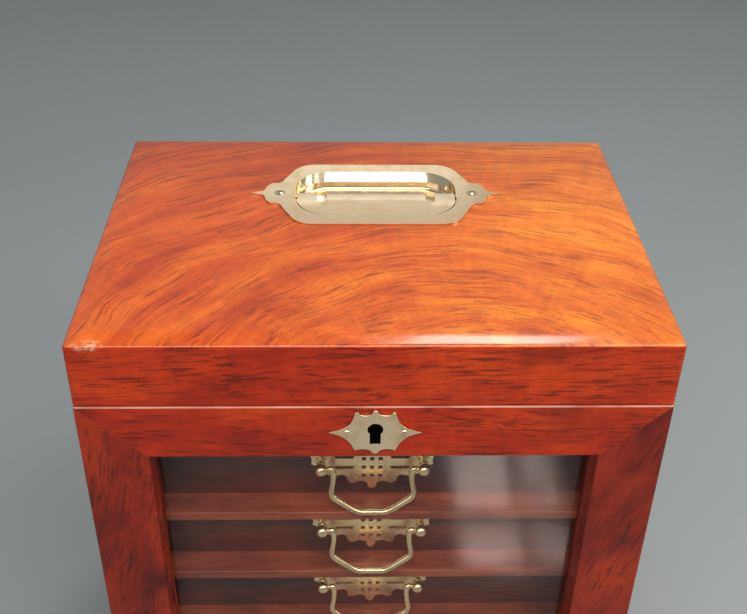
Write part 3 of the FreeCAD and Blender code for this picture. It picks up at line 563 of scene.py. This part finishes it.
def lid_finishes():
    """The lid's panel and rails."""
    painted(lid_wood("lid_figured_veneer"), "lid_top")
    painted(lid_wood("lid_rail_wood", "X", 0.05), "lid_front_rail")
    painted(lid_wood("lid_back_wood", "X", 0.0, (0.4, 0, 0)), "lid_back_rail")
    painted(lid_wood("lid_side_wood", "Y", 0.04), "lid_side_rails")


def front_finishes():
    """The fall front's frame, glass and beads."""
    low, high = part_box("front_top_rail")
    # The top rail gets painted shade round its keyhole and a painted highlight along its upper front edge
    top = wood("top_rail_wood", RAILS, tilt=-0.03, shift=(0.2, 0.1, 0), shaded_round=KEYHOLE,
               wear_and_glint=(low.y, high.z))
    left = wood("left_stile_wood", STILES, along="Z", tilt=-0.2, patches=0.9, streaks=0.6)
    right = wood("right_stile_wood", STILES, along="Z", tilt=-0.3, patches=0.9, streaks=0.6,
                 shift=(0.3, 0, 0))
    painted(top, "front_top_rail")
    painted(wood("bottom_rail_wood", RAILS, shift=(0.7, 0.3, 0)), "front_bottom_rail")
    painted(left, "front_left_stile")
    painted(right, "front_right_stile")
    painted(glass(), "front_glass")
    painted(wood("bead_wood", STILES, coat=0.4, gloss=0.2), "glazing_beads")
    for name in [*FRONT_FRAME, "glazing_beads"]:
        eased(name, 0.12 * MM)


def case_finishes():
    """The case's boards and shelves."""
    sides = ["case_left_side", "case_right_side"]
    along = ["case_back", "base_board"]
    painted(wood("case_side_wood", CASE, along="Y", tilt=0.05), *sides)
    painted(wood("case_wood_along", CASE, shift=(0.1, 0.5, 0)), *along)
    painted(wood("shelf_wood", SHELF, coat=0.5, gloss=0.2, streaks=0.5), *CASE_BOARDS)
    for name in [*sides, *along, *CASE_BOARDS]:
        eased(name, 0.4 * MM)


def drawer_finishes(pulls):
    """Each drawer's front and box, and its pull."""
    front = wood("drawer_front_wood", DRAWER, coat=0.6, gloss=0.18, streaks=0.6)
    box = wood("drawer_lining_wood", LININGS, along="Y", coat=0.0, streaks=0.35, patches=0.25)
    for number in DRAWERS:
        drawer = f"drawer_{number}"
        painted(front, f"{drawer}_front")
        painted(box, f"{drawer}_box")
        painted(pulls, f"{drawer}_pull_plate", f"{drawer}_pull_posts")
        eased(f"{drawer}_box", 0.5 * MM)
        eased(f"{drawer}_pull_plate", 0.14 * MM)


def fitting_finishes(polished):
    """The carrying handle, lock, escutcheon and hinges."""
    handle = brass("handle_brass", wear=0.3, grime_and_shade=0.4)
    # The lock case, seen only through the keyhole, is painted as dark brass: painted shade inside the
    # keyhole
    shaded_lock_brass = brass("lock_brass", wear=0.1, grime_and_shade=0.8, gloss=0.25, bright=(112, 92, 66))
    painted(handle, "carry_handle_plate", "carry_handle_grip", "carry_handle_screws")
    painted(shaded_lock_brass, "lock_case")
    painted(polished, *HINGE_LEAVES, "hinge_pins", "lock_keeper", "lock_bolt", "escutcheon",
            "escutcheon_pins")
    eased("carry_handle_plate", 0.6 * MM, 3)
    eased("carry_handle_grip", 0.5 * MM, 3)
    eased("escutcheon", 0.3 * MM, 3)
    for name in [*HINGE_LEAVES, "lock_case", "lock_bolt", "lock_keeper"]:
        eased(name, 0.15 * MM)


# ---------------------------------------------------------------- bails

# Half a bail from its pivot to the middle of its foot: millimetres across and down, and the radius
# there as a share of BAIL_THICK
BAIL_HALF = [
    (27.2, 0.0, 0.75), (25.7, 0.0, 0.85), (24.6, -0.5, 1.3), (22.1, -0.7, 1.75), (21.7, 3.8, 1.5),
    (22.1, 8.4, 1.4), (23.2, 13.2, 1.5), (22.2, 16.8, 1.7), (16.8, 20.4, 1.6), (11.2, 24.2, 1.6),
    (7.0, 26.1, 1.6), (3.4, 26.0, 1.6),
]
BAIL_THICK = 1.18 * MM
BAIL_LEAN = math.radians(17.5)
# The bails' pivots: how high over the foot of a drawer's front they are, and their place in depth
POST_HEIGHT = 26.2 * MM
BALL_Y = -84.0 * MM


def bail(number, finish):
    """A cast swan-neck bail: one smooth line that swells at its necks and foot."""
    low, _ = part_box(f"drawer_{number}_front")
    z = low.z + POST_HEIGHT
    path = bpy.data.curves.new(f"bail_{number}_line", "CURVE")
    path.dimensions = "3D"
    path.bevel_depth = BAIL_THICK
    path.bevel_resolution = 5
    path.resolution_u = 8
    path.use_fill_caps = True
    steps = BAIL_HALF + [(-u, w, r) for u, w, r in reversed(BAIL_HALF)]
    line = path.splines.new("NURBS")
    line.points.add(len(steps) - 1)
    for point, (u, w, r) in zip(line.points, steps):
        down = w * MM
        point.co = (u * MM, BALL_Y - down * math.sin(BAIL_LEAN), z - down * math.cos(BAIL_LEAN), 1)
        point.radius = r
    line.order_u = 3
    line.use_endpoint_u = True
    drawn = bpy.data.objects.new(f"bail_{number}_line", path)
    bpy.context.scene.collection.objects.link(drawn)
    bpy.context.view_layer.update()
    mesh = bpy.data.meshes.new_from_object(drawn.evaluated_get(bpy.context.evaluated_depsgraph_get()))
    bm = bmesh.new()
    bm.from_mesh(mesh)
    bpy.data.objects.remove(drawn)
    bpy.data.meshes.remove(mesh)
    bmesh.ops.remove_doubles(bm, verts=bm.verts, dist=1e-7)
    piece(f"bail_handle_{number}", bm, f"bail_{number}", finish,
          [f"drawer_{number}_bail"])


# ---------------------------------------------------------------- screws

SCREW, SMALL_SCREW = 1.45 * MM, 1.2 * MM
# The hinges' middles and their screws' spacing across, and how deep the heads sit in the leaves
HINGE_X, HINGE_STEP, SCREW_SINK = 85.0 * MM, 13.0 * MM, 0.06 * MM
# The front's hinges: the screws' place in depth, the lower leaves' face and the gap over it
FOOT_LEAF_Y, FOOT_LEAF_Z, LEAF_GAP = CAD_LOW.y + 14.3 * MM, 13.85 * MM, 0.1 * MM
# The lid's hinges: the leaves' back face, the joint's height, and the screws' rows above and below it
BACK_LEAF_Y, LID_JOINT_Z, LEAF_ROW = CAD_HIGH.y - 3.1 * MM, 299.05 * MM, 12.0 * MM
# The lock's and its keeper's screws: how far out they are, and how far the heads stand proud
LOCK_SCREW_X, KEEPER_SCREW_X, SCREW_PROUD = 21.6 * MM, 11.6 * MM, 0.1 * MM


def slotted_head(bm, centre, axis, turn, radius):
    """A countersunk screw head seen from above: two half discs with a slot between them."""
    axis = Vector(axis).normalized()
    side = axis.orthogonal().normalized()
    side.rotate(Matrix.Rotation(turn, 3, axis))
    other = axis.cross(side)
    centre = Vector(centre)
    slot, deep, ease = 0.24 * MM, 0.45 * MM, 0.1 * MM
    for sign in (-1, 1):
        rims = []
        for inset, height in ((0.0, -deep), (0.0, -ease), (ease, 0.0)):
            ring = []
            reach = radius - inset
            low = slot + inset
            start = math.asin(low / reach)
            count = 14
            for k in range(count + 1):
                a = start + (math.pi - 2 * start) * k / count
                ring.append(bm.verts.new(centre + side * (reach * math.cos(a))
                                         + other * (sign * reach * math.sin(a)) + axis * height))
            rims.append(ring)
        for one, two in zip(rims, rims[1:]):
            for k in range(len(one)):
                m = (k + 1) % len(one)
                bm.faces.new([one[k], one[m], two[m], two[k]])
        bm.faces.new(rims[-1])
        bm.faces.new(rims[0])
    lathe(bm, [(0, -2.2 * deep), (0.7 * radius, -2.2 * deep), (radius, -0.95 * deep), (0, -0.95 * deep)],
          centre, axis, 20)


def screws(name, body, places, axis, finish, radius=SCREW):
    """Several screw heads as one piece, no two turned alike."""
    bm = bmesh.new()
    for number, place in enumerate(places):
        slotted_head(bm, place, axis, 0.5 + 1.3 * number, radius)
    piece(name, bm, body, finish, smooth=False)


def hinge_screws(finish):
    """Three screws in each hinge leaf."""
    rows = [side * HINGE_X + step for side in (-1, 1) for step in (-HINGE_STEP, 0.0, HINGE_STEP)]
    screws("front_hinge_case_screws", "case",
           [(x, FOOT_LEAF_Y, FOOT_LEAF_Z - SCREW_SINK) for x in rows], (0, 0, 1), finish)
    screws("front_hinge_front_screws", "fall_front",
           [(x, FOOT_LEAF_Y, FOOT_LEAF_Z + LEAF_GAP + SCREW_SINK) for x in rows], (0, 0, -1), finish)
    back = BACK_LEAF_Y - SCREW_SINK
    screws("lid_hinge_case_screws", "case",
           [(x, back, LID_JOINT_Z - LEAF_ROW) for x in rows], (0, 1, 0), finish)
    screws("lid_hinge_lid_screws", "lid",
           [(x, back, LID_JOINT_Z + LEAF_ROW) for x in rows], (0, 1, 0), finish)


def lock_screws(finish):
    """Two small screws in the lock and two in its keeper."""
    low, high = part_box("lock_case")
    across = (low.y + high.y) / 2
    places = [(side * LOCK_SCREW_X, across, high.z + SCREW_PROUD) for side in (-1, 1)]
    screws("lock_screws", "fall_front", places, (0, 0, 1), finish, SMALL_SCREW)
    low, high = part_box("lock_keeper")
    across = (low.y + high.y) / 2
    places = [(side * KEEPER_SCREW_X, across, low.z - SCREW_PROUD) for side in (-1, 1)]
    screws("lock_keeper_screws", "lid", places, (0, 0, -1), finish, SMALL_SCREW)


# ---------------------------------------------------------------- velvet and baize

def roll_form(low, high, step):
    """A closed bar with flat sides and base and a round top, its ends closed and rounded."""
    bm = bmesh.new()
    verts = soft_block(bm, low, high, 1.5 * MM, step)
    radius = (high[1] - low[1]) / 2
    middle = (high[1] + low[1]) / 2
    shoulder = high[2] - radius
    for vert in verts:
        over = vert.co.z - shoulder
        if over > 0:
            across = (vert.co.y - middle) / radius
            lift = math.sqrt(max(0.0, 1 - across * across))
            vert.co.z = shoulder + over * max(lift, 0.12)
    return bm


def ring_rolls(finish):
    """Five stuffed velvet rolls, side by side. One is swollen by simulation and the rest are its copies."""
    low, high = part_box("ring_rolls")
    count = 5
    width = 15.5 * MM
    pitch = (high.y - low.y - width) / (count - 1)
    slack = 0.5 * MM
    bm = roll_form((low.x + slack, low.y + slack, low.z),
                   (high.x - slack, low.y + width - slack, high.z - slack), 2.6 * MM)
    first = piece("ring_roll_1", bm, "case", finish, ["ring_rolls"])
    stuffed(first, 3.0, 0.7 * MM)
    spread = 0.7 * MM
    kept_inside(first, (low.x, low.y - spread, low.z), (high.x, low.y + width + spread, high.z + 0.4 * MM))
    smoothed(first)
    for number in range(1, count):
        bm = bmesh.new()
        bm.from_mesh(first.data)
        if number % 2:
            for vert in bm.verts:
                vert.co.x = -vert.co.x
            bmesh.ops.reverse_faces(bm, faces=bm.faces)
        bmesh.ops.translate(bm, verts=bm.verts, vec=(0, pitch * number, 0))
        made = smoothed(piece(f"ring_roll_{number + 1}", bm, "case", finish, ["ring_rolls"]))


def pad(name, body, finish, low, high, swell, replaces=()):
    """A flat stuffed pad on a board: crowned, with its edge pulled down all round."""
    bm = bmesh.new()
    thick = high[2] - low[2]
    verts = soft_block(bm, low, high, 0.48 * thick, 5.0 * MM)
    half = [(high[a] - low[a]) / 2 for a in (0, 1)]
    centre = [(high[a] + low[a]) / 2 for a in (0, 1)]
    for vert in verts:
        if vert.co.z > low[2] + 0.6 * thick:
            across = [min(1.0, abs(vert.co[a] - centre[a]) / half[a]) for a in (0, 1)]
            crown = (1 - across[0] ** 6) * (1 - across[1] ** 6)
            ruck = noise.noise(Vector((vert.co.x, vert.co.y, 0)) * 42)
            vert.co.z += swell * (0.6 * crown + 0.25 * ruck * crown)
    made = piece(name, bm, body, finish, replaces)
    stuffed(made, 1.5, 0.5 * swell)
    kept_inside(made, low, (high[0], high[1], high[2] + swell))
    smoothed(made)


def panels(name, body, finish, blocks, radius, replaces=()):
    """Velvet-covered boards, soft at their edges and very slightly uneven."""
    bm = bmesh.new()
    for low, high in blocks:
        thin = min(high[a] - low[a] for a in range(3))
        verts = soft_block(bm, low, high, min(radius, 0.48 * thin), 6.0 * MM)
        for vert in verts:
            vert.co += noise.noise_vector(vert.co * 60) * 0.12 * MM
    smoothed(piece(name, bm, body, finish, replaces))


def well_tray(finish):
    """The lined tray in the top of the case: walls, dividers and three padded compartments."""
    low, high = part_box("well_tray")
    wall = 3.0 * MM
    rim, divide = high.z, high.z - 12.0 * MM
    x0, x1, y0, y1 = low.x, high.x, low.y, high.y
    bank = y0 + 92.0 * MM
    third = 45.0 * MM
    board = low.z + 1.0 * MM
    gap = 0.15 * MM
    blocks = [
        ((x0 + gap, y0 + gap, low.z), (x1 - gap, y1 - gap, board)),
        ((x0 + gap, y0 + gap, board), (x1 - gap, y0 + wall, rim)),
        ((x0 + gap, y1 - wall, board), (x1 - gap, y1 - gap, rim)),
        ((x0 + gap, y0 + wall, board), (x0 + wall, y1 - wall, rim)),
        ((x1 - wall, y0 + wall, board), (x1 - gap, y1 - wall, rim)),
        ((x0 + wall, bank, board), (x1 - wall, bank + wall, divide)),
        ((-third - wall, bank + wall, board), (-third, y1 - wall, divide)),
        ((third, bank + wall, board), (third + wall, y1 - wall, divide)),
        ((x0 + wall, y0 + wall, board), (x1 - wall, bank, low.z + wall)),
    ]
    panels("well_tray_walls", "case", finish, blocks, 1.3 * MM, ["well_tray"])
    rooms = {"left": (x0 + wall, -third - wall), "middle": (-third, third),
             "right": (third + wall, x1 - wall)}
    for name, (left, right) in rooms.items():
        pad(f"well_pad_{name}", "case", finish, (left + gap, bank + wall + gap, board),
            (right - gap, y1 - wall - gap, board + 2.6 * MM), 2.2 * MM)


def drawer_lining(number, finish):
    """A drawer's velvet: four side panels and a thin pad on the bottom."""
    low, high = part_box(f"drawer_{number}_lining")
    thick = 1.5 * MM
    base = low.z + 0.1 * MM
    body = f"drawer_{number}"
    gap = 0.1 * MM
    x0, x1, y0, y1 = low.x + gap, high.x - gap, low.y + gap, high.y - gap
    blocks = [
        ((x0, y0, base), (x0 + thick, y1, high.z)),
        ((x1 - thick, y0, base), (x1, y1, high.z)),
        ((x0 + thick, y0, base), (x1 - thick, y0 + thick, high.z)),
        ((x0 + thick, y1 - thick, base), (x1 - thick, y1, high.z)),
    ]
    panels(f"drawer_velvet_{number}", body, finish, blocks, 0.7 * MM, [f"drawer_{number}_lining"])
    inset = thick + gap
    pad(f"drawer_pad_{number}", body, finish, (x0 + inset, y0 + inset, base),
        (x1 - inset, y1 - inset, base + 2.0 * MM), 1.4 * MM, [f"drawer_{number}_lining"])


def base_felt(finish):
    """The baize under the base: a thin sheet with a soft, slightly uneven edge."""
    low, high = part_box("base_felt")
    bm = bmesh.new()
    for vert in soft_block(bm, low, high, 0.5 * MM, 5.0 * MM):
        edge = noise.noise(Vector((vert.co.x, vert.co.y, 0)) * 90) * 0.35 * MM
        vert.co.x -= math.copysign(abs(edge), vert.co.x)
        vert.co.y -= math.copysign(abs(edge), vert.co.y)
    piece("baize_underside", bm, "case", finish, ["base_felt"])


def lid_border(finish):
    """A padded velvet border between the mirror and the lid's rails."""
    _, mirror_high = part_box("lid_mirror")
    panel_low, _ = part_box("lid_top")
    x, y = mirror_high.x + 0.4 * MM, mirror_high.y + 0.4 * MM
    rail_x, rail_y = 137.8 * MM, 98.8 * MM
    z0, z1 = panel_low.z - 3.4 * MM, panel_low.z - 0.05 * MM
    blocks = [
        ((-rail_x, -rail_y, z0), (rail_x, -y, z1)),
        ((-rail_x, y, z0), (rail_x, rail_y, z1)),
        ((-rail_x, -y, z0), (-x, y, z1)),
        ((x, -y, z0), (rail_x, y, z1)),
    ]
    panels("lid_velvet_border", "lid", finish, blocks, 1.4 * MM)


# ---------------------------------------------------------------- mirror

def lid_mirror(silver, finish):
    """The mirror inside the lid, with a broad bevel, held by four small clips."""
    low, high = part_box("lid_mirror")
    bevel = 12.0 * MM
    edge = 1.0 * MM
    bm = bmesh.new()
    rings = []
    for inset, z in ((0.0, high.z), (0.0, low.z + edge), (bevel, low.z), (bevel + 0.6 * MM, low.z)):
        x, y = high.x - inset, high.y - inset
        rings.append([bm.verts.new((sx * x, sy * y, z)) for sx, sy in ((-1, -1), (1, -1), (1, 1), (-1, 1))])
    for one, two in zip(rings, rings[1:]):
        for k in range(4):
            m = (k + 1) % 4
            bm.faces.new([one[k], one[m], two[m], two[k]])
    bm.faces.new(rings[0])
    bm.faces.new(rings[-1])
    piece("bevelled_mirror", bm, "lid", silver, ["lid_mirror"], smooth=False)

    clips = bmesh.new()
    wide, deep = 5.0 * MM, 4.0 * MM
    for x, y, dx, dy in ((0, -high.y, 0, -1), (0, high.y, 0, 1), (-high.x, 0, -1, 0), (high.x, 0, 1, 0)):
        across = (wide, deep) if dy else (deep, wide)
        middle = (x + dx * MM, y + dy * MM)
        soft_block(clips, (middle[0] - across[0], middle[1] - across[1], low.z - 0.75 * MM),
                   (middle[0] + across[0], middle[1] + across[1], low.z - 0.05 * MM), 0.3 * MM, 1.5 * MM)
    piece("mirror_clips", clips, "lid", finish)


# ---------------------------------------------------------------- studio

# Soft boxes: name, place, what it is aimed at, size, watts and colour
LAMPS = [
    ("front_strip", (0.15, -0.9, 1.3), (0.03, -0.1, 0.22), (1.5, 0.3), 15, (1.0, 0.95, 0.87)),
    ("over_front", (0.0, -0.46, 1.3), (0.0, 0.05, 0.33), (0.36, 0.16), 1.1, (1.0, 0.97, 0.9)),
    ("key", (0.5, -0.1, 1.35), (0.05, 0.0, 0.3), (0.4, 0.5), 3, (1.0, 0.95, 0.88)),
    ("fill", (-1.0, -1.0, 0.9), (0, 0, 0.15), (0.9, 0.9), 2.5, (0.93, 0.97, 1.0)),
    ("side", (1.3, -0.3, 0.9), (0, 0, 0.2), (0.5, 0.8), 6, (1.0, 0.95, 0.88)),
    ("back_panel", (0, 1.5, 1.35), (0, 0, 0.34), (2.4, 0.9), 1.6, (1.0, 0.78, 0.5)),
    ("edge_light", (0.225, 0.6, 1.4), (0.08, -0.1, 0.337), (0.28, 0.26), 3.6, (1.0, 0.97, 0.92)),
]
# Cards on the floor that only the glass shows: their rows' middles and lengths, then each card's
# place across, width and brightness
GLASS_CARD_ROWS = [(-0.3515, 0.097), (-0.2615, 0.039)]
GLASS_CARDS = [(0.1, 0.045, 5.6), (0.149, 0.024, 4.0), (0.121, 0.1, 1.1)]


def studio():
    """Floor and soft lights."""
    bm = bmesh.new()
    bmesh.ops.create_grid(bm, x_segments=24, y_segments=24, size=5.0)
    mesh = bpy.data.meshes.new("studio_floor")
    bm.to_mesh(mesh)
    bm.free()
    floor = bpy.data.objects.new("studio_floor", mesh)
    floor.data.materials.append(floor_paint())
    bpy.context.scene.collection.objects.link(floor)

    world = bpy.data.worlds.new("studio_air")
    world.use_nodes = True
    air = world.node_tree.nodes["Background"]
    air.inputs["Color"].default_value = (0.9, 0.96, 1.0, 1)
    air.inputs["Strength"].default_value = 0.32
    bpy.context.scene.world = world

    for name, place, aim, size, power, colour in LAMPS:
        softbox(name, place, aim, size, power, colour)
    for middle, length in GLASS_CARD_ROWS:
        for across, width, glow in GLASS_CARDS:
            card = softbox("glass_card", (across, middle, 0.004), (across, middle, 1), (width, length),
                           glow * math.pi * width * length, (1.0, 0.8, 0.72))
            lit_only(card, [NODES["front_glass"]])
    card = softbox("brass_card", (0.01, 1.5, 0.87), (0.0, 0.05, 0.34), (0.46, 0.48), 0.37, (1.0, 0.98, 0.93))
    lit_only(card, [NODES["carry_handle_plate"], NODES["carry_handle_grip"]])


def lit_only(lamp, objects):
    """Keeps a card's light to a few shiny things, which is all that it is there for."""
    group = bpy.data.collections.new(lamp.name + "_shines_on")
    for thing in objects:
        group.objects.link(thing)
    lamp.light_linking.receiver_collection = group
    lamp.visible_diffuse = False


def softbox(name, place, aim, size, power, colour):
    """A rectangular soft light that the camera itself doesn't see."""
    light = bpy.data.lights.new(name, "AREA")
    light.shape = "RECTANGLE"
    light.size, light.size_y = size
    light.energy = power
    light.color = colour
    lamp = bpy.data.objects.new(name, light)
    bpy.context.scene.collection.objects.link(lamp)
    lamp.location = place
    lamp.rotation_euler = (Vector(aim) - Vector(place)).to_track_quat("-Z", "Y").to_euler()
    lamp.visible_camera = False
    return lamp


def camera():
    """The camera where the photograph was taken from, turned and rolled as it was."""
    ahead = Vector((math.sin(CAMERA_YAW) * math.cos(CAMERA_PITCH),
                    math.cos(CAMERA_YAW) * math.cos(CAMERA_PITCH), -math.sin(CAMERA_PITCH)))
    right = Vector((math.cos(CAMERA_YAW), -math.sin(CAMERA_YAW), 0))
    up = right.cross(ahead)
    turned_right = math.cos(CAMERA_ROLL) * right + math.sin(CAMERA_ROLL) * up
    turned_up = math.cos(CAMERA_ROLL) * up - math.sin(CAMERA_ROLL) * right
    eye = bpy.data.cameras.new("camera")
    eye.lens = CAMERA_LENS
    seen = bpy.data.objects.new("camera", eye)
    bpy.context.scene.collection.objects.link(seen)
    matrix = Matrix((turned_right, turned_up, -ahead)).transposed().to_4x4()
    matrix.translation = CAMERA_PLACE
    seen.matrix_world = matrix
    bpy.context.scene.camera = seen


def main():
    bpy.context.scene.view_settings.view_transform = "Standard"
    polished = brass("polished_brass_fittings", bright=(255, 224, 186))
    pulls = brass("pull_brass", wear=0.3, grime_and_shade=0.2, gloss=0.2, bright=(255, 232, 190))
    lid_finishes()
    front_finishes()
    case_finishes()
    drawer_finishes(pulls)
    fitting_finishes(polished)
    burgundy = velvet("burgundy_velvet", (46, 6, 14), (112, 22, 38))
    for number in DRAWERS:
        bail(number, pulls)
        drawer_lining(number, burgundy)
    hinge_screws(polished)
    lock_screws(polished)
    well_tray(burgundy)
    ring_rolls(burgundy)
    lid_mirror(mirror_silver(), polished)
    lid_border(burgundy)
    base_felt(baize())
    studio()
    camera()


main()
